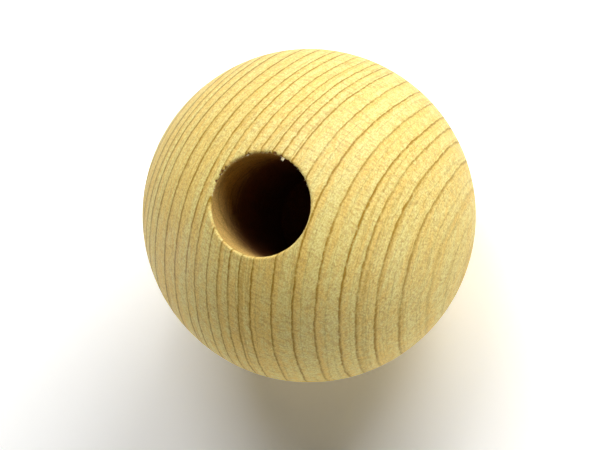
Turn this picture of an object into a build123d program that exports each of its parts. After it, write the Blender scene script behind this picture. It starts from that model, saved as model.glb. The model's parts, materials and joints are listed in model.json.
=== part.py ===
"""A turned wooden ball with one round blind bore for a dowel.

The ball is a single piece of hardwood: a sphere with a flat-floored hole drilled straight
towards its centre. All sizes are in millimetres.

Frame: the origin is the centre of the sphere. +Z runs along the bore, out of its mouth.
+X is the direction of the wood's fibres, which the bore crosses at a right angle.
"""

import os

from build123d import *

# Driving dimensions
ball_diameter = 50.0
bore_diameter = 15.0
bore_depth = 35.0  # from where the sphere's crown would be, down to the bore's floor
mouth_round = 0.35  # radius of the sanded edge at the bore's mouth
point_mark_diameter = 3.0  # cone that the drill bit's centre point leaves in the floor
point_mark_depth = 1.5

# Sizes that follow from them
ball_radius = ball_diameter / 2
bore_radius = bore_diameter / 2
crown_z = ball_radius
floor_z = crown_z - bore_depth
point_mark_radius = point_mark_diameter / 2
point_mark_z = floor_z - point_mark_depth

os.makedirs("parts", exist_ok=True)

with BuildPart() as ball:
    # The turned blank: half a disc, spun about the lathe's axis
    with BuildSketch(Plane.XZ):
        with BuildLine():
            CenterArc((0, 0), ball_radius, -90, 180)
            Line((0, crown_z), (0, -crown_z))
        make_face()
    revolve(axis=Axis.Z)

    # What the drill takes out: the straight wall, the flat floor and the point's mark
    with BuildSketch(Plane.XZ):
        with BuildLine():
            Polyline(
                (0, crown_z),
                (bore_radius, crown_z),
                (bore_radius, floor_z),
                (point_mark_radius, floor_z),
                (0, point_mark_z),
                close=True,
            )
        make_face()
    revolve(axis=Axis.Z, mode=Mode.SUBTRACT)

    # The mouth's sharp edge, sanded round
    mouth_edge = ball.edges().filter_by(GeomType.CIRCLE).sort_by(Axis.Z)[-1]
    fillet(mouth_edge, radius=mouth_round)

ball.part.label = "ball"
export_step(ball.part, "parts/ball.step")

# The bore's straight wall ends where the sanded edge begins
bore_wall = ball.faces().filter_by(GeomType.CYLINDER).sort_by(Axis.Z)[-1]
bore_wall_length = bore_wall.bounding_box().size.Z
print(f"ball: volume {ball.part.volume:.1f} mm3, bore wall {bore_wall_length:.4f} mm long")
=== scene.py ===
"""The looks of a turned wooden ball with one drilled bore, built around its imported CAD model.

The ball's outside, the sanded edge of its mouth and the drilled wall are one mesh with real relief,
and the fibres that the drill left standing at the mouth are a second. Both are painted by nodes that
follow the tree: growth rings lie round the pith, fibres run along X and rays run out from the pith.
Everything is in metres, in the frame of the CAD model: the sphere's centre is the origin and the
bore opens towards +Z.
"""

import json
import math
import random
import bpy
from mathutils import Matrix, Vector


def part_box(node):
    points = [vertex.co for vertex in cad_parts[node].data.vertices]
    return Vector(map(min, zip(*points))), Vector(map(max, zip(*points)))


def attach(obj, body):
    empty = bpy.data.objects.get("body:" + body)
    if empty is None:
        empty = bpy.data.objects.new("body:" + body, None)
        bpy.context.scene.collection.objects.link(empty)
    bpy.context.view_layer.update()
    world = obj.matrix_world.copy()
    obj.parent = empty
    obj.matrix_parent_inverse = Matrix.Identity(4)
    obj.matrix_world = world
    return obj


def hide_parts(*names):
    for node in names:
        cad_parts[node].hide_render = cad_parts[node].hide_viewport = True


bl_info = {
    "name": "Wooden ball",
    "version": (1, 0, 0),
    "blender": (4, 5, 0),
    "location": "3D View > Sidebar > Wooden ball",
    "description": "Makes a turned, drilled and sanded wooden ball and the studio around it",
    "category": "Add Mesh",
}

import bpy
from bpy.props import FloatProperty, FloatVectorProperty, IntProperty, PointerProperty
from mathutils import Quaternion, Vector, noise

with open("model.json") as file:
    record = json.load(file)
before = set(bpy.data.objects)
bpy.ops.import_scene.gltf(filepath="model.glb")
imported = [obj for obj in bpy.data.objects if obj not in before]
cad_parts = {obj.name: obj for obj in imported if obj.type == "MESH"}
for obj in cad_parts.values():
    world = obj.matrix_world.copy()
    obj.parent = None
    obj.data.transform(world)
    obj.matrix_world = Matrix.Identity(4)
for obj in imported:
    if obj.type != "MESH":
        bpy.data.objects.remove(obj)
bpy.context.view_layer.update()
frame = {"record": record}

MM = 0.001
NODE = "ball"
BORE = frame["record"]["mounts"][0]["dims"]
BALL_RADIUS = -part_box(NODE)[0].z
BORE_RADIUS = BORE["r_mm"] * MM
MOUTH_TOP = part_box(NODE)[1].z
MOUTH_ROUND = 0.35 * MM  # radius of the sanded edge at the mouth
POINT_MARK_RADIUS = 1.5 * MM  # the cone that the drill bit's centre point leaves in the floor
POINT_MARK_DEPTH = 1.5 * MM

# The sanded edge is an arc that touches the sphere outside and the bore's wall inside
EDGE_RADIUS = BORE_RADIUS + MOUTH_ROUND
EDGE_Z = math.sqrt((BALL_RADIUS - MOUTH_ROUND) ** 2 - EDGE_RADIUS**2)
MOUTH_ANGLE = math.atan2(EDGE_RADIUS, EDGE_Z)
FLOOR_Z = EDGE_Z - BORE["length_mm"] * MM

FARTHEST_RING = 66.0  # millimetres from the pith that the ring curve covers

RING_SPAN = 0.3  # millimetres to each side over which a ring's own width is taken
FULL_SHADE_HEIGHT = FLOOR_Z + 19 * MM  # height below which the bore's wall is painted at its darkest, as painted shade

TEETH = 60  # small bites that the drill would tear out of a whole turn of the mouth
BITE_OUTSIDE = 0.3 * MM  # how far a bite runs out over the sphere
BITE_INSIDE = 0.7 * MM  # how far it runs down the wall
DIP_SPACING = 7 * MM  # distance between the dips in the turned surface

FIBRES = 46  # splinters round the mouth, besides the tuft
FIBRE_SPREAD = 1.1  # radians from the torn side that most of them keep within
TUFT_FIBRES = 5
TUFT_TURN = 2.0  # degrees from +X to the tuft's first fibre
TUFT_SPACING = 0.7  # degrees between its fibres
TUFT_THICKNESS = 0.12 * MM

EDGE_ROWS = 8  # rows of the mesh across the sanded edge
OUTSIDE_GROWTH = 0.1  # how much wider the rows get with each step away from the mouth
WALL_GROWTH = 0.06
MOUTH_COLUMNS = 512  # points in a row near the mouth
USUAL_COLUMNS = 256
FEWEST_COLUMNS = 16
MOUTH_REACH = 3 * MM  # how far from the edge a row counts as near the mouth
NARROWEST_COLUMN = 0.25 * MM

# The surface laid out flat fills a square of 1 by 1
DISC_SIZE = 0.283  # radius of the disc that each half of the outside becomes
DISC_REACH = 0.49  # from the square's middle to a disc's far side, along each axis
STRIP_CORNER = (0.015, 0.65)  # lower left corner of the wall's strip
FLOOR_SPOT = (0.8, 0.2)  # middle of the bore's floor

LAMP_DISTANCE = 0.6
PAPER_HALF = 1.5  # half the width of the paper
PAPER_GRAIN = 900.0  # bumps of tone in a metre of the paper
# Shares of the frame's width by which the ball stands off its middle
SHIFT_SIDE = -0.0153
SHIFT_UP = -0.0157


def colour(name, description, default):
    """A colour that the user can change."""
    return FloatVectorProperty(
        name=name, description=description, default=default, subtype="COLOR", size=3, min=0, max=1
    )


def length(name, description, default):
    """A length that the user can change, given in metres."""
    return FloatProperty(
        name=name, description=description, default=default, unit="LENGTH", precision=5, min=0
    )


def angle(name, description, degrees):
    """An angle that the user can change, given in degrees."""
    return FloatProperty(
        name=name, description=description, default=math.radians(degrees), unit="ROTATION"
    )


def number(name, description, default):
    """A plain number that the user can change."""
    return FloatProperty(name=name, description=description, default=default)


class BallShape(bpy.types.PropertyGroup):
    """How evenly the ball was turned and how roughly its bore was drilled."""

    coarse_step: length("Coarse step", "Widest spacing of the mesh's rows", 0.6 * MM)
    fine_step: length("Fine step", "Spacing of the rows at the mouth", 0.09 * MM)
    unevenness: length("Unevenness", "How far the turned surface dips below a true sphere", 0.02 * MM)
    nick_depth: length("Nick depth", "How deep the drill tore the mouth's edge", 0.16 * MM)
    wall_depth: length("Wall relief", "Depth of the drill's marks on the wall", 0.07 * MM)
    torn_side: angle("Torn side", "Direction of the most torn stretch of the mouth, from +X", 35)
    torn_reach: angle("Torn reach", "Half the angle that the torn stretch spans", 95)
    fibre_length: length("Fibre length", "Length of the fibres left at the mouth", 0.4 * MM)


class WoodGrain(bpy.types.PropertyGroup):
    """Where the ball sat in the tree."""

    pith_distance: length("Pith distance", "From the ball's centre to the pith", 29.5 * MM)
    pith_turn: angle("Pith turn", "Direction of the pith, from +Y towards +Z", 17)
    lean: number("Lean", "Bend of the stem along the line from the ball to the pith", 0.05)
    sweep: number("Sweep", "Bend of the stem sideways", -0.12)
    taper: number("Taper", "How fast the rings narrow along +X", 0.09)
    ovalness: number("Ovalness", "How oval the rings are", 0.06)
    line_width: length("Line width", "Width of the dark line that ends a ring", 0.23 * MM)
    first_ring: length("First ring", "Growth in the tree's first year", 5 * MM)
    grown_ring: length("Grown ring", "Usual growth in a year of the grown tree", 2 * MM)
    youth: number("Youth", "Years in which the extra width of young rings falls by two thirds", 2.5)
    ring_change: number("Ring change", "How unlike good and poor years are", 0.35)
    growth_seed: IntProperty(name="Growth seed", description="Picks another run of years", default=4)


class WoodColours(bpy.types.PropertyGroup):
    """The wood's colours, as it is painted on every piece."""

    pale: colour("Pale wood", "The spring growth", (0.84, 0.71, 0.25))
    golden: colour("Golden wood", "Warmer streaks", (0.85, 0.61, 0.165))
    line: colour("Ring line", "The thin dark line that ends each ring", (0.37, 0.21, 0.012))
    ray: colour("Ray", "Flecks of the rays that run out from the pith", (0.6, 0.37, 0.1))
    pore: colour("Pore", "Fine open pores along the fibres", (0.46, 0.28, 0.09))
    drilled: colour("Drilled wall", "Wood rubbed by the drill", (0.74, 0.46, 0.14))
    # Painted shade: the dark colour painted into the depth of the bore and into the bites at its mouth
    bore_shade: colour("Painted bore shade", "The depth of the bore, painted darker as shade", (0.16, 0.05, 0.015))
    fibre: colour("Torn fibre", "Fresh fibres standing at the mouth", (0.95, 0.86, 0.62))


class StudioSettings(bpy.types.PropertyGroup):
    """The camera, the lamps and the floor."""

    view_azimuth: angle("View azimuth", "Where the camera stands, round the bore's axis", 17.4)
    view_elevation: angle("View elevation", "How high the camera stands above the floor", 72.3)
    view_roll: angle("View roll", "How far the camera is turned about its line of sight", -77.5)
    view_distance: length("View distance", "From the camera to the ball's centre", 0.55)
    lens: FloatProperty(name="Lens", description="Focal length", default=220, min=1, unit="CAMERA")
    paper: colour("Paper", "The white floor", (0.93, 0.93, 0.92))


class Wiring:
    """Adds nodes to one tree and joins them."""

    def __init__(self, tree):
        self.tree = tree

    def add(self, kind, inputs=(), **settings):
        """A node with its settings and inputs, where a socket is joined and a value is set."""
        node = self.tree.nodes.new(kind)
        for name, value in settings.items():
            setattr(node, name, value)
        for name, value in dict(inputs).items():
            self.put(node.inputs[name], value)
        return node

    def put(self, socket, value):
        if isinstance(value, bpy.types.NodeSocket):
            self.tree.links.new(value, socket)
        else:
            socket.default_value = value

    def maths(self, operation, *values):
        return self.add("ShaderNodeMath", enumerate(values), operation=operation).outputs[0]

    def vector(self, operation, *values):
        return self.add("ShaderNodeVectorMath", enumerate(values), operation=operation).outputs[0]

    def scaled(self, vector, times):
        inputs = {0: vector, "Scale": times}
        return self.add("ShaderNodeVectorMath", inputs, operation="SCALE").outputs[0]

    def mix(self, share, first, second):
        node = self.add("ShaderNodeMix", {0: share, 6: first, 7: second}, data_type="RGBA")
        return node.outputs[2]

    def join(self, x, y, z):
        return self.add("ShaderNodeCombineXYZ", {0: x, 1: y, 2: z}).outputs[0]

    def part(self, vector):
        return self.add("ShaderNodeSeparateXYZ", {0: vector}).outputs

    def noise(self, vector, detail=2.0, roughness=0.5):
        """Noise from 0 to 1 whose bumps are about one unit across."""
        inputs = {"Vector": vector, "Scale": 1.0, "Detail": detail, "Roughness": roughness}
        return self.add("ShaderNodeTexNoise", inputs).outputs["Fac"]

    def step(self, value, low, high, to_low=0.0, to_high=1.0):
        """Rises smoothly from to_low to to_high as value goes from low to high."""
        inputs = {"Value": value, 1: low, 2: high, 3: to_low, 4: to_high}
        node = self.add("ShaderNodeMapRange", inputs, interpolation_type="SMOOTHSTEP")
        return node.outputs[0]


def new_group(name, inputs, outputs):
    """An empty node group with named sockets, and its wiring, inputs and outputs."""
    tree = bpy.data.node_groups.new(name, "ShaderNodeTree")
    for socket, kind in inputs.items():
        tree.interface.new_socket(socket, in_out="INPUT", socket_type="NodeSocket" + kind)
    for socket, kind in outputs.items():
        tree.interface.new_socket(socket, in_out="OUTPUT", socket_type="NodeSocket" + kind)
    wiring = Wiring(tree)
    return tree, wiring, wiring.add("NodeGroupInput").outputs, wiring.add("NodeGroupOutput").inputs


def ring_ends(grain):
    """How far from the pith each year's growth ends, in millimetres.

    They stop two first rings short of the farthest, so that the last one can't pass it.
    """
    years = random.Random(grain.growth_seed)
    ends = []
    reach = 0.0
    while reach < FARTHEST_RING - 2 * grain.first_ring / MM:
        young = math.exp(-len(ends) / grain.youth)
        usual = grain.grown_ring + (grain.first_ring - grain.grown_ring) * young
        reach += usual / MM * (1 + grain.ring_change * years.uniform(-1, 1))
        ends.append(reach)
    return ends


def ring_curve(wiring, distance):
    """How many rings lie within that distance of the pith."""
    ends = ring_ends(bpy.context.scene.wood_grain)
    steps = len(ends) + 1
    share = wiring.maths("DIVIDE", distance, FARTHEST_RING)
    curve = wiring.add("ShaderNodeFloatCurve", {"Value": share})
    line = curve.mapping.curves[0]
    for year, end in enumerate(ends, start=1):
        line.points.new(end / FARTHEST_RING, year / steps)
    for point in line.points:
        point.handle_type = "AUTO_CLAMPED"
    curve.mapping.update()
    return wiring.maths("MULTIPLY", curve.outputs[0], steps)


def growth_rings_group():
    """Where a point lies in the tree, and how strongly a ring's dark line runs through it."""
    tree, w, given, out = new_group(
        "Growth rings",
        {
            "Position": "Vector",
            "Pith distance": "Float",
            "Pith turn": "Float",
            "Lean": "Float",
            "Sweep": "Float",
            "Taper": "Float",
            "Ovalness": "Float",
            "Line width": "Float",
        },
        {"Line": "Float", "Band": "Float", "Grain position": "Vector"},
    )
    radius = BALL_RADIUS / MM
    turned = w.add(
        "ShaderNodeVectorRotate",
        {"Vector": given["Position"], "Angle": w.maths("MULTIPLY", given["Pith turn"], -1.0)},
        rotation_type="X_AXIS",
    ).outputs[0]
    x, y, z = w.part(turned)
    along = w.maths("DIVIDE", x, radius)
    bend = w.maths("MULTIPLY", w.maths("MULTIPLY", along, along), radius)
    near = w.maths("MULTIPLY_ADD", bend, given["Lean"], given["Pith distance"])
    outward = w.maths("SUBTRACT", y, near)
    sideways = w.maths("SUBTRACT", z, w.maths("MULTIPLY", bend, given["Sweep"]))
    stretch = w.maths("ADD", given["Ovalness"], 1.0)
    square = w.maths("MULTIPLY", w.maths("MULTIPLY", sideways, sideways), stretch)
    across = w.maths("SQRT", w.maths("MULTIPLY_ADD", outward, outward, square))
    true_distance = w.maths("MULTIPLY", across, w.maths("MULTIPLY_ADD", along, given["Taper"], 1.0))

    # The lines waver a little, slowly along the fibres and faster across them
    slow = w.noise(w.vector("MULTIPLY", turned, (0.05, 0.12, 0.12)), detail=1.0)
    quick = w.noise(w.vector("MULTIPLY", turned, (0.5, 1.1, 1.1)), detail=1.0)
    waver = w.maths("MULTIPLY", w.maths("SUBTRACT", slow, 0.5), 0.45)
    waver = w.maths("MULTIPLY_ADD", w.maths("SUBTRACT", quick, 0.5), 0.26, waver)
    distance = w.maths("ADD", true_distance, waver)

    # How far past the nearest line a point is, counted in the line's own width
    rings = ring_curve(w, distance)
    more = ring_curve(w, w.maths("ADD", distance, RING_SPAN))
    fewer = ring_curve(w, w.maths("SUBTRACT", distance, RING_SPAN))
    between = w.maths("MAXIMUM", w.maths("SUBTRACT", more, fewer), 0.02)
    width = w.maths("DIVIDE", 2 * RING_SPAN, between)
    nearest = w.maths("ROUND", rings)
    past = w.maths("MULTIPLY", w.maths("SUBTRACT", rings, nearest), width)
    # The lines are broader towards the pith
    bold = w.maths("MULTIPLY", given["Line width"], w.step(distance, 16.0, 30.0, 1.7, 1.0))
    past = w.maths("DIVIDE", past, bold)
    line = w.maths("MULTIPLY", w.step(past, -0.7, -0.2), w.step(past, 0.0, 1.1, 1.0, 0.0))
    own = w.add("ShaderNodeTexWhiteNoise", {"W": nearest}, noise_dimensions="1D").outputs["Value"]
    line = w.maths("MULTIPLY", line, w.maths("MULTIPLY_ADD", own, 0.25, 0.75))
    # A warmer tone trails off on the line's outer side
    tail = w.maths("MULTIPLY", w.step(past, -0.5, 0.2), w.step(past, 0.5, 4.5, 1.0, 0.0))

    # Each line fades and thickens along the fibres
    inward = w.maths("MULTIPLY", outward, -1.0)
    round_pith = w.maths("MULTIPLY", w.maths("ARCTAN2", sideways, inward), across)
    grain = w.join(x, distance, round_pith)
    fading = w.noise(w.vector("MULTIPLY", grain, (0.1, 0.5, 0.2)), detail=1.0)
    beading = w.noise(w.vector("MULTIPLY", grain, (1.3, 1.5, 1.6)), detail=2.0, roughness=0.7)
    line = w.maths("MULTIPLY", line, w.step(fading, 0.3, 0.5, 0.75, 1.1))
    line = w.maths("MULTIPLY", line, w.step(beading, 0.32, 0.55, 0.55, 1.1))
    # The outermost years ended in weaker lines
    line = w.maths("MULTIPLY", line, w.step(distance, 48.8, 52.5, 1.0, 0.3))
    line = w.maths("MINIMUM", line, 1.0)

    # Fainter lines come and go between them
    drift = w.noise(w.vector("MULTIPLY", grain, (0.01, 1.1, 0.015)), detail=1.0)
    faint = w.step(w.maths("ABSOLUTE", w.maths("SUBTRACT", drift, 0.5)), 0.0, 0.03, 1.0, 0.0)
    faint = w.maths("MULTIPLY", faint, w.step(beading, 0.35, 0.6, 0.1, 0.45))
    w.put(out["Line"], w.maths("MAXIMUM", line, faint))

    # Broad and fine bands of tone between the lines
    broad = w.noise(w.vector("MULTIPLY", grain, (0.02, 0.55, 0.05)), detail=3.0, roughness=0.6)
    w.put(out["Band"], w.maths("MULTIPLY_ADD", tail, 0.22, broad))
    w.put(out["Grain position"], grain)
    return tree


def fibres_group():
    """The fine marks that fibres, pores and rays leave on a cut face."""
    tree, w, given, out = new_group(
        "Fibres and rays",
        {"Grain position": "Vector", "Position": "Vector"},
        {"Ray": "Float", "Pore": "Float", "Streak": "Float", "Speckle": "Float"},
    )
    grain = given["Grain position"]
    ray = w.noise(w.vector("MULTIPLY", grain, (2.8, 0.42, 2.4)), detail=1.0)
    w.put(out["Ray"], w.step(ray, 0.54, 0.63))
    pore = w.noise(w.vector("MULTIPLY", grain, (0.8, 5.5, 5.5)), detail=1.0)
    w.put(out["Pore"], w.step(pore, 0.56, 0.7))
    streak = w.noise(w.vector("MULTIPLY", grain, (0.07, 1.6, 1.2)), detail=3.0, roughness=0.6)
    w.put(out["Streak"], streak)
    fine = w.vector("MULTIPLY", given["Position"], (3.4, 4.6, 4.6))
    w.put(out["Speckle"], w.noise(fine, detail=2.0, roughness=0.75))
    return tree


def group_named(name, make):
    """The shader group of that name, made on its first use."""
    return bpy.data.node_groups.get(name) or make()


def wood_nodes(name):
    """A new material with the tree's position, rings and fibres in it, and its Principled BSDF."""
    material = bpy.data.materials.new(name)
    material.use_nodes = True
    w = Wiring(material.node_tree)
    shader = material.node_tree.nodes["Principled BSDF"]
    place = w.add("ShaderNodeTexCoord").outputs["Object"]
    place = w.scaled(place, 1 / MM)
    grain = bpy.context.scene.wood_grain
    rings = w.add("ShaderNodeGroup", node_tree=group_named("Growth rings", growth_rings_group))
    values = {
        "Position": place,
        "Pith distance": grain.pith_distance / MM,
        "Pith turn": grain.pith_turn,
        "Lean": grain.lean,
        "Sweep": grain.sweep,
        "Taper": grain.taper,
        "Ovalness": grain.ovalness,
        "Line width": grain.line_width / MM,
    }
    for socket, value in values.items():
        w.put(rings.inputs[socket], value)
    fibres = w.add("ShaderNodeGroup", node_tree=group_named("Fibres and rays", fibres_group))
    w.put(fibres.inputs["Grain position"], rings.outputs["Grain position"])
    w.put(fibres.inputs["Position"], place)
    return material, w, shader, rings.outputs, fibres.outputs


def opaque(rgb):
    return (*rgb, 1.0)


def turned_wood():
    """The sanded outside: pale wood, thin ring lines, ray flecks and fine pores."""
    colours = bpy.context.scene.wood_colours
    material, w, shader, rings, fibres = wood_nodes("turned_wood")
    warm = w.step(w.maths("ADD", rings["Band"], fibres["Streak"]), 0.85, 1.3)
    paint = w.mix(warm, opaque(colours.pale), opaque(colours.golden))
    paint = w.mix(w.maths("MULTIPLY", fibres["Ray"], 0.42), paint, opaque(colours.ray))
    paint = w.mix(w.maths("MULTIPLY", fibres["Pore"], 0.3), paint, opaque(colours.pore))
    paint = w.mix(rings["Line"], paint, opaque(colours.line))
    speck = w.step(fibres["Speckle"], 0.35, 0.65)
    paint = w.vector("MULTIPLY", paint, w.mix(speck, (0.86, 0.78, 0.62, 1.0), (1.09, 1.14, 1.3, 1.0)))
    w.put(shader.inputs["Base Color"], paint)
    w.put(shader.inputs["Roughness"], w.step(fibres["Streak"], 0.3, 0.7, 0.5, 0.62))
    w.put(shader.inputs["Specular IOR Level"], 0.3)
    height = w.maths("MULTIPLY_ADD", rings["Line"], 0.5, fibres["Ray"])
    height = w.maths("MULTIPLY_ADD", fibres["Pore"], -1.0, height)
    relief = {"Height": height, "Strength": 0.5, "Distance": 0.015 * MM}
    w.put(shader.inputs["Normal"], w.add("ShaderNodeBump", relief).outputs[0])
    return material


def drilled_wood():
    """The bore's wall and floor: the same wood, cut rough and rubbed darker, with painted shade deep in
    the bore and in the bites at the mouth.
    """
    colours = bpy.context.scene.wood_colours
    material, w, shader, rings, fibres = wood_nodes("drilled_wood")
    rub = w.step(fibres["Streak"], 0.3, 0.7, 0.4, 1.0)
    paint = w.mix(rub, opaque(colours.golden), opaque(colours.drilled))
    paint = w.mix(w.maths("MULTIPLY", rings["Line"], 0.35), paint, opaque(colours.line))
    paint = w.mix(w.maths("MULTIPLY", fibres["Pore"], 0.5), paint, opaque(colours.pore))
    # Painted shade: the wall is painted darker the deeper it lies in the bore
    height = w.part(w.add("ShaderNodeTexCoord").outputs["Object"])["Z"]
    uneven = w.maths("MULTIPLY_ADD", w.maths("SUBTRACT", fibres["Streak"], 0.5), 12 * MM, height)
    painted_shade = w.step(uneven, FULL_SHADE_HEIGHT, EDGE_Z - 0.5 * MM, 0.96, 0.0)
    # Painted shade: the bites torn out of the edge, at the top of the drilled faces, are painted dark too
    painted_bite_shade = w.step(height, EDGE_Z - 0.05 * MM, EDGE_Z + 0.02 * MM, 0.0, 0.85)
    paint = w.mix(w.maths("MAXIMUM", painted_shade, painted_bite_shade), paint, opaque(colours.bore_shade))
    shade = w.step(fibres["Speckle"], 0.3, 0.7, 0.65, 1.1)
    paint = w.vector("MULTIPLY", paint, w.join(shade, shade, shade))
    w.put(shader.inputs["Base Color"], paint)
    w.put(shader.inputs["Roughness"], w.step(fibres["Streak"], 0.3, 0.7, 0.75, 0.9))
    w.put(shader.inputs["Specular IOR Level"], 0.15)
    relief = {"Height": fibres["Speckle"], "Strength": 0.7, "Distance": 0.05 * MM}
    w.put(shader.inputs["Normal"], w.add("ShaderNodeBump", relief).outputs[0])
    return material


def torn_fibre():
    """Fresh fibres at the mouth, paler than the sanded wood."""
    colours = bpy.context.scene.wood_colours
    material, w, shader, rings, fibres = wood_nodes("torn_fibre")
    paint = w.mix(w.maths("MULTIPLY", fibres["Streak"], 0.5), opaque(colours.fibre), opaque(colours.pale))
    w.put(shader.inputs["Base Color"], paint)
    w.put(shader.inputs["Roughness"], w.step(fibres["Speckle"], 0.3, 0.7, 0.5, 0.65))
    return material


def closeness(turn, side, reach):
    """1 at that side of the mouth, falling to 0 at the reach either way."""
    away = abs((turn - side + math.pi) % (2 * math.pi) - math.pi)
    return max(0.0, math.cos(min(away / reach, 1.0) * math.pi / 2))


def nick(turn, shape):
    """How deep the mouth's edge is torn there, from 0 to 1."""
    ring = Vector((math.cos(turn), math.sin(turn), 0.0))
    drift = 2.5 * noise.noise(ring * 5.0)
    tooth = 0.5 + 0.5 * math.sin(TEETH * turn + drift)
    uneven = 0.5 + 0.9 * noise.noise(ring * 9.0 + Vector((0, 0, 4.3)))
    torn = 0.15 + 0.85 * closeness(turn, shape.torn_side, shape.torn_reach)
    return torn * max(0.0, min(1.0, 0.75 * tooth * uneven + 0.5 * uneven))


def wall_relief(point):
    """Depth of the drill's marks there, from 0 to 1: uneven rings and torn grain."""
    p = point / MM
    feed = 0.5 + 0.5 * noise.noise(Vector((p.x * 0.12, p.y * 0.12, p.z * 1.5)))
    tear = 0.5 + 0.5 * noise.noise(Vector((p.x * 0.5, p.y * 1.4, p.z * 1.8)))
    fuzz = 0.5 + 0.5 * noise.noise(p * 4.0)
    return 0.4 * feed + 0.4 * tear**2 + 0.2 * fuzz


def outline_rows(shape):
    """The ball's half outline, from the bottom of the sphere over the mouth to the bore's floor.

    Each row is its radius, its z, the outward normal's radial and z parts, its zone, and its
    distance: from where the sanded edge meets the sphere, or on the wall from the edge's height.
    The floor's rows have none.
    """
    rows = []
    run = (math.pi - MOUTH_ANGLE) * BALL_RADIUS
    gone = 0.0
    while gone < run - shape.coarse_step / 2:
        turn = MOUTH_ANGLE + gone / BALL_RADIUS
        spot = (math.sin(turn), math.cos(turn))
        rows.append((BALL_RADIUS * spot[0], BALL_RADIUS * spot[1], *spot, "outside", gone))
        gone += min(shape.fine_step + OUTSIDE_GROWTH * gone, shape.coarse_step)
    rows.reverse()
    for i in range(1, EDGE_ROWS + 1):
        turn = MOUTH_ANGLE - i / EDGE_ROWS * (MOUTH_ANGLE + math.pi / 2)
        spot = (math.sin(turn), math.cos(turn))
        radius = EDGE_RADIUS + MOUTH_ROUND * spot[0]
        z = EDGE_Z + MOUTH_ROUND * spot[1]
        rows.append((radius, z, *spot, "edge", MOUTH_ROUND * i / EDGE_ROWS))
    depth = shape.fine_step
    while EDGE_Z - depth > FLOOR_Z + shape.fine_step:
        rows.append((BORE_RADIUS, EDGE_Z - depth, -1.0, 0.0, "wall", depth))
        depth += min(shape.fine_step + WALL_GROWTH * depth, shape.coarse_step)
    radius = BORE_RADIUS
    while radius > POINT_MARK_RADIUS:
        rows.append((radius, FLOOR_Z, 0.0, 1.0, "floor", 0.0))
        radius -= shape.coarse_step
    for share in (1.0, 0.66, 0.33):
        z = FLOOR_Z - POINT_MARK_DEPTH * (1 - share)
        rows.append((POINT_MARK_RADIUS * share, z, -0.7, 0.7, "floor", 0.0))
    return rows


def columns_at(radius, distance):
    """How many points a row has: more at the mouth and the floor's rim, fewer near the axis."""
    if distance < MOUTH_REACH and radius > 0.9 * BORE_RADIUS:
        return MOUTH_COLUMNS
    count = USUAL_COLUMNS
    while count > FEWEST_COLUMNS and 2 * math.pi * radius / count < NARROWEST_COLUMN:
        count //= 2
    return count


def stitch(lower, upper):
    """Faces between two closed rows of points, where one may have twice as many as the other."""
    faces = []
    if len(lower) == len(upper):
        for i in range(len(lower)):
            j = (i + 1) % len(lower)
            faces.append((lower[i], lower[j], upper[j], upper[i]))
    elif len(lower) > len(upper):
        for i in range(len(upper)):
            j = (i + 1) % len(upper)
            a, b, c = lower[2 * i], lower[2 * i + 1], lower[(2 * i + 2) % len(lower)]
            faces += [(a, b, upper[i]), (b, upper[j], upper[i]), (b, c, upper[j])]
    else:
        for i in range(len(lower)):
            j = (i + 1) % len(lower)
            a, b, c = upper[2 * i], upper[2 * i + 1], upper[(2 * i + 2) % len(upper)]
            faces += [(lower[i], b, a), (lower[i], lower[j], b), (lower[j], c, b)]
    return faces


def depth_at(point, turn, zone, distance, shape):
    """How far the real surface lies below the true outline there."""
    dip = shape.unevenness * (0.5 + 0.5 * noise.noise(point / DIP_SPACING))
    if zone == "outside":
        fade = max(0.0, 1 - distance / BITE_OUTSIDE) ** 2
        return dip + 0.35 * shape.nick_depth * nick(turn, shape) * fade
    if zone == "edge":
        return dip + shape.nick_depth * nick(turn, shape)
    if zone == "wall":
        fade = max(0.0, 1 - distance / BITE_INSIDE) ** 2
        tear = shape.nick_depth * nick(turn, shape) * fade
        return tear + shape.wall_depth * wall_relief(point) * min(1.0, distance / MM)
    return 0.4 * shape.wall_depth * wall_relief(point)


def is_drilled(zone, distance, turn, shape):
    """Whether the drill cut the surface there: the wall, the floor and each bite out of the edge."""
    if zone in ("wall", "floor"):
        return True
    return zone == "edge" and nick(turn, shape) > 0.82 - 0.5 * distance / MOUTH_ROUND


def ball_mesh(shape):
    """The whole ball as one closed mesh, with the drilled faces in the second material slot."""
    points, faces, drilled, rows = [], [], [], []
    for radius, z, out, up, zone, distance in outline_rows(shape):
        count = columns_at(radius, distance)
        if rows and len(rows[-1]) != count:
            count = len(rows[-1]) * 2 if count > len(rows[-1]) else len(rows[-1]) // 2
        row = []
        for i in range(count):
            turn = 2 * math.pi * i / count
            side = Vector((math.cos(turn), math.sin(turn), 0.0))
            point = side * radius + Vector((0, 0, z))
            normal = side * out + Vector((0, 0, up))
            row.append(len(points))
            points.append(point - normal * depth_at(point, turn, zone, distance, shape))
        if rows:
            made = stitch(rows[-1], row)
            faces += made
            for face in made:
                corner = points[face[0]]
                turn = math.atan2(corner.y, corner.x)
                drilled.append(is_drilled(zone, distance, turn, shape))
        rows.append(row)
    ends = ((rows[0], -BALL_RADIUS, False), (rows[-1], FLOOR_Z - POINT_MARK_DEPTH, True))
    for row, z, inside in ends:
        tip = len(points)
        points.append(Vector((0, 0, z)))
        for i in range(len(row)):
            a, b = row[i], row[(i + 1) % len(row)]
            faces.append((a, b, tip) if inside else (b, a, tip))
            drilled.append(inside)
    mesh = bpy.data.meshes.new("turned_ball")
    mesh.from_pydata(points, [], faces)
    mesh.polygons.foreach_set("material_index", [int(d) for d in drilled])
    mesh.polygons.foreach_set("use_smooth", [True] * len(faces))
    mesh.validate()
    return mesh


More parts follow.
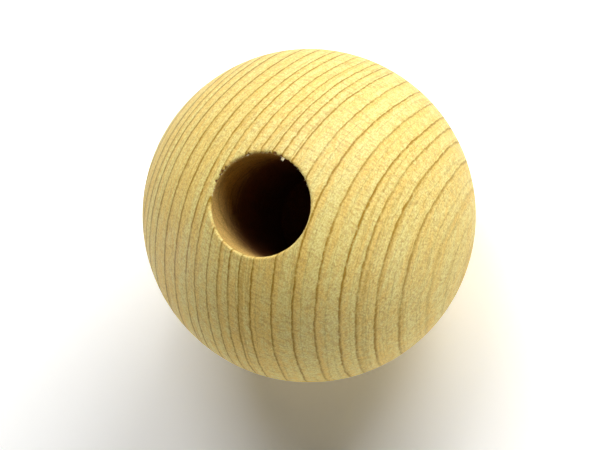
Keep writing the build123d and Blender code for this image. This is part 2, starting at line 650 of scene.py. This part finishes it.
def unwrap(mesh):
    """Lays the surface out flat: each half of the outside as an equal-area disc, the wall as a strip."""
    layer = mesh.uv_layers.new(name="OFBake")
    scale = DISC_SIZE / (math.sqrt(2) * BALL_RADIUS)
    skin = 0.985 * BALL_RADIUS
    floor_top = FLOOR_Z + 0.15 * MM
    floor_rim = 0.99 * BORE_RADIUS
    for face in mesh.polygons:
        middle = face.center
        radius = math.hypot(middle.x, middle.y)
        inside = middle.length < skin and middle.z < EDGE_Z
        spots = [mesh.vertices[i].co for i in face.vertices]
        if inside and middle.z < floor_top and radius < floor_rim:
            flat = [(FLOOR_SPOT[0] + p.x * scale, FLOOR_SPOT[1] + p.y * scale) for p in spots]
        elif inside and radius < EDGE_RADIUS:
            turns = [math.atan2(p.y, p.x) % (2 * math.pi) for p in spots]
            if max(turns) - min(turns) > math.pi:
                turns = [t + 2 * math.pi if t < math.pi else t for t in turns]
            left, low = STRIP_CORNER
            flat = [
                (left + t * BORE_RADIUS * scale, low + (p.z - FLOOR_Z) * scale)
                for t, p in zip(turns, spots)
            ]
        else:
            up = 1 if middle.z > 0 else -1
            centre = 0.5 + up * (DISC_REACH - DISC_SIZE)
            flat = []
            for p in spots:
                side = math.hypot(p.x, p.y)
                reach = 2 * BALL_RADIUS * math.sin(math.atan2(side, up * p.z) / 2) * scale
                share = reach / side if side > 0 else 0.0
                flat.append((centre + p.x * share, centre + up * p.y * share))
        for loop, spot in zip(face.loop_indices, flat):
            layer.data[loop].uv = spot


def show(mesh, *materials):
    """A piece of the ball with that mesh: it rides with the ball and takes the wood's finish."""
    piece = bpy.data.objects.new(mesh.name, mesh)
    bpy.context.scene.collection.objects.link(piece)
    for material in materials:
        mesh.materials.append(material)
    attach(piece, "root")
    return piece


class MakeTurnedBall(bpy.types.Operator):
    """Make the ball: its turned outside, its sanded edge and its drilled bore"""

    bl_idname = "wooden_ball.turned_ball"
    bl_label = "Turned ball"

    def execute(self, context):
        mesh = ball_mesh(context.scene.ball_shape)
        unwrap(mesh)
        piece = show(mesh, turned_wood(), drilled_wood())
        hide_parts(NODE)
        return {"FINISHED"}


def sliver(root, lean, size, thickness, curl):
    """A thin curved fibre that tapers to its tip, as points and faces."""
    sides, steps = 5, 5
    along = lean.normalized()
    across = along.cross(Vector((0, 0, 1))).normalized()
    over = across.cross(along)
    points, faces = [], []
    for step in range(steps):
        share = step / steps
        centre = root + along * size * share + over * curl * size * share**2
        width = thickness * (1 - share) ** 0.6 / 2
        for side in range(sides):
            turn = 2 * math.pi * side / sides
            points.append(centre + across * width * math.cos(turn) * 1.6 + over * width * math.sin(turn))
    points.append(root + along * size + over * curl * size)
    for step in range(steps - 1):
        for side in range(sides):
            a, b = step * sides + side, step * sides + (side + 1) % sides
            faces.append((a, a + sides, b + sides, b))
    last = (steps - 1) * sides
    for side in range(sides):
        faces.append((last + (side + 1) % sides, last + side, len(points) - 1))
    faces.append(tuple(range(sides)))
    return points, faces


def mouth_fibres_mesh(shape):
    """Fibres left standing where the drill crossed the grain's ends, most of them on the torn side."""
    chance = random.Random(5)
    points, faces = [], []

    def grow(turn, size, thickness, rise, curl):
        side = Vector((math.cos(turn), math.sin(turn), 0.0))
        root = side * (BORE_RADIUS + 0.06 * MM) + Vector((0, 0, EDGE_Z + 0.05 * MM))
        sway = Vector((chance.uniform(-0.4, 0.4), chance.uniform(-0.4, 0.4), 0))
        lean = -side + Vector((0, 0, rise)) + sway
        new, sides = sliver(root, lean, size, thickness, curl)
        faces.extend([tuple(i + len(points) for i in face) for face in sides])
        points.extend([Vector((p.x, p.y, min(p.z, MOUTH_TOP - 0.01 * MM))) for p in new])

    for _ in range(FIBRES):
        turn = shape.torn_side + chance.gauss(0, FIBRE_SPREAD)
        size = shape.fibre_length * chance.uniform(0.2, 0.6)
        thickness = chance.uniform(0.03, 0.06) * MM
        rise = chance.uniform(-0.6, 0.4)
        curl = chance.uniform(-0.4, 0.5)
        grow(turn, size, thickness, rise, curl)
    # One tuft of longer fibres is lifted where the drill met the ends of the grain
    for i in range(TUFT_FIBRES):
        size = shape.fibre_length * (1.4 + 0.2 * (i % 2))
        turn = math.radians(TUFT_TURN + TUFT_SPACING * i)
        grow(turn, size, TUFT_THICKNESS, rise=0.1, curl=0.1)
    mesh = bpy.data.meshes.new("mouth_fibres")
    mesh.from_pydata(points, [], faces)
    mesh.polygons.foreach_set("use_smooth", [True] * len(faces))
    mesh.validate()
    return mesh


class MakeMouthFibres(bpy.types.Operator):
    """Make the torn fibres that stand at the bore's mouth"""

    bl_idname = "wooden_ball.mouth_fibres"
    bl_label = "Mouth fibres"

    def execute(self, context):
        show(mouth_fibres_mesh(context.scene.ball_shape), torn_fibre())
        return {"FINISHED"}


def direction(azimuth, elevation):
    """Towards a point at that azimuth, counted from -Y towards +X, and that height above the floor."""
    flat = math.cos(elevation)
    return Vector((math.sin(azimuth) * flat, -math.cos(azimuth) * flat, math.sin(elevation)))


def add_camera(studio):
    """The camera, aimed at the ball's centre and turned about its line of sight."""
    camera = bpy.data.objects.new("camera", bpy.data.cameras.new("camera"))
    bpy.context.scene.collection.objects.link(camera)
    back = direction(studio.view_azimuth, studio.view_elevation)
    camera.location = back * studio.view_distance
    camera.rotation_mode = "QUATERNION"
    aim = (-back).to_track_quat("-Z", "Y")
    camera.rotation_quaternion = aim @ Quaternion((0, 0, 1), studio.view_roll)
    camera.data.lens = studio.lens
    camera.data.shift_x = SHIFT_SIDE
    camera.data.shift_y = SHIFT_UP
    camera.data.clip_start = 10 * MM
    bpy.context.scene.camera = camera


def add_lamp(name, azimuth, elevation, size, watts):
    """A square soft lamp that faces the ball, which the camera doesn't see."""
    lamp = bpy.data.objects.new(name, bpy.data.lights.new(name, "AREA"))
    bpy.context.scene.collection.objects.link(lamp)
    back = direction(math.radians(azimuth), math.radians(elevation))
    lamp.location = back * LAMP_DISTANCE
    lamp.visible_camera = False
    lamp.rotation_mode = "QUATERNION"
    lamp.rotation_quaternion = (-back).to_track_quat("-Z", "Y")
    lamp.data.size = size
    lamp.data.energy = watts


def background_rays(w):
    """1 for the rays that show the background: to the camera, and to gloss or glass."""
    path = w.add("ShaderNodeLightPath").outputs
    gloss = w.maths("MAXIMUM", path["Is Glossy Ray"], path["Is Transmission Ray"])
    return w.maths("MAXIMUM", path["Is Camera Ray"], gloss)


def paper_floor(studio):
    """A wide sheet of white paper under the ball."""
    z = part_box(NODE)[0].z
    corners = [(x * PAPER_HALF, y * PAPER_HALF, z) for x, y in ((-1, -1), (1, -1), (1, 1), (-1, 1))]
    mesh = bpy.data.meshes.new("paper")
    mesh.from_pydata(corners, [], [(0, 1, 2, 3)])
    floor = bpy.data.objects.new("paper", mesh)
    bpy.context.scene.collection.objects.link(floor)
    material = bpy.data.materials.new("white_paper")
    material.use_nodes = True
    w = Wiring(material.node_tree)
    shader = material.node_tree.nodes["Principled BSDF"]
    grain = w.noise(w.scaled(w.add("ShaderNodeTexCoord").outputs["Object"], PAPER_GRAIN), detail=3.0)
    tone = w.mix(w.maths("MULTIPLY", grain, 0.05), opaque(studio.paper), (0.8, 0.8, 0.79, 1.0))
    w.put(shader.inputs["Base Color"], tone)
    w.put(shader.inputs["Roughness"], 0.9)
    w.put(shader.inputs["Specular IOR Level"], 0.0)
    # Seen directly, the paper is lighter than what it throws back on to the ball
    extra = w.add("ShaderNodeBsdfDiffuse", {"Color": (0.5, 0.5, 0.5, 1)})
    both = w.add("ShaderNodeAddShader", {0: shader.outputs[0], 1: extra.outputs[0]})
    rays = background_rays(w)
    top = w.add("ShaderNodeMixShader", {0: rays, 1: shader.outputs[0], 2: both.outputs[0]})
    # A camera below the floor looks through it
    seen = w.add("ShaderNodeLightPath").outputs["Is Camera Ray"]
    below = w.maths("MULTIPLY", seen, w.add("ShaderNodeNewGeometry").outputs["Backfacing"])
    clear = w.add("ShaderNodeBsdfTransparent")
    last = w.add("ShaderNodeMixShader", {0: below, 1: top.outputs[0], 2: clear.outputs[0]})
    w.put(material.node_tree.nodes["Material Output"].inputs["Surface"], last.outputs[0])
    mesh.materials.append(material)


def white_world():
    """A weak light from all round and below, fading upwards, which the camera sees as white."""
    world = bpy.data.worlds.new("white_room")
    bpy.context.scene.world = world
    world.use_nodes = True
    w = Wiring(world.node_tree)
    height = w.part(w.add("ShaderNodeTexCoord").outputs["Generated"])["Z"]
    room = w.step(height, 0.0, 0.5, 0.1, 0.0)
    strength = w.maths("MAXIMUM", background_rays(w), room)
    background = world.node_tree.nodes["Background"]
    w.put(background.inputs["Color"], (1, 1, 1, 1))
    w.put(background.inputs["Strength"], strength)


class MakeStudio(bpy.types.Operator):
    """Make the white floor, the soft lamps and the camera"""

    bl_idname = "wooden_ball.studio"
    bl_label = "Studio"

    def execute(self, context):
        studio = context.scene.studio_settings
        context.scene.view_settings.view_transform = "Standard"
        add_camera(studio)
        add_lamp("key_lamp", azimuth=88, elevation=31, size=0.34, watts=3.2)
        add_lamp("high_lamp", azimuth=125, elevation=52, size=0.3, watts=1.8)
        add_lamp("left_lamp", azimuth=225, elevation=4, size=0.1, watts=1.1)
        add_lamp("right_lamp", azimuth=0, elevation=4, size=0.1, watts=0.85)
        add_lamp("low_lamp", azimuth=310, elevation=4, size=0.1, watts=0.55)
        paper_floor(studio)
        white_world()
        return {"FINISHED"}


class WoodenBallPanel(bpy.types.Panel):
    """Lists the steps in the order that they are run, and what can be set"""

    bl_idname = "VIEW3D_PT_wooden_ball"
    bl_label = "Wooden ball"
    bl_space_type = "VIEW_3D"
    bl_region_type = "UI"
    bl_category = "Wooden ball"

    def draw(self, context):
        for operator in OPERATORS:
            self.layout.operator(operator.bl_idname)
        for owner, kind in SETTINGS.items():
            for name in kind.__annotations__:
                self.layout.prop(getattr(context.scene, owner), name)


OPERATORS = (MakeTurnedBall, MakeMouthFibres, MakeStudio)
SETTINGS = {
    "ball_shape": BallShape,
    "wood_grain": WoodGrain,
    "wood_colours": WoodColours,
    "studio_settings": StudioSettings,
}
CLASSES = (*SETTINGS.values(), *OPERATORS, WoodenBallPanel)


def register():
    for one in CLASSES:
        bpy.utils.register_class(one)
    for name, group in SETTINGS.items():
        setattr(bpy.types.Scene, name, PointerProperty(type=group))


def unregister():
    for name in SETTINGS:
        delattr(bpy.types.Scene, name)
    for one in reversed(CLASSES):
        bpy.utils.unregister_class(one)


def main():
    register()
    bpy.ops.wooden_ball.turned_ball()
    bpy.ops.wooden_ball.mouth_fibres()
    bpy.ops.wooden_ball.studio()


if __name__ == "__main__":
    main()
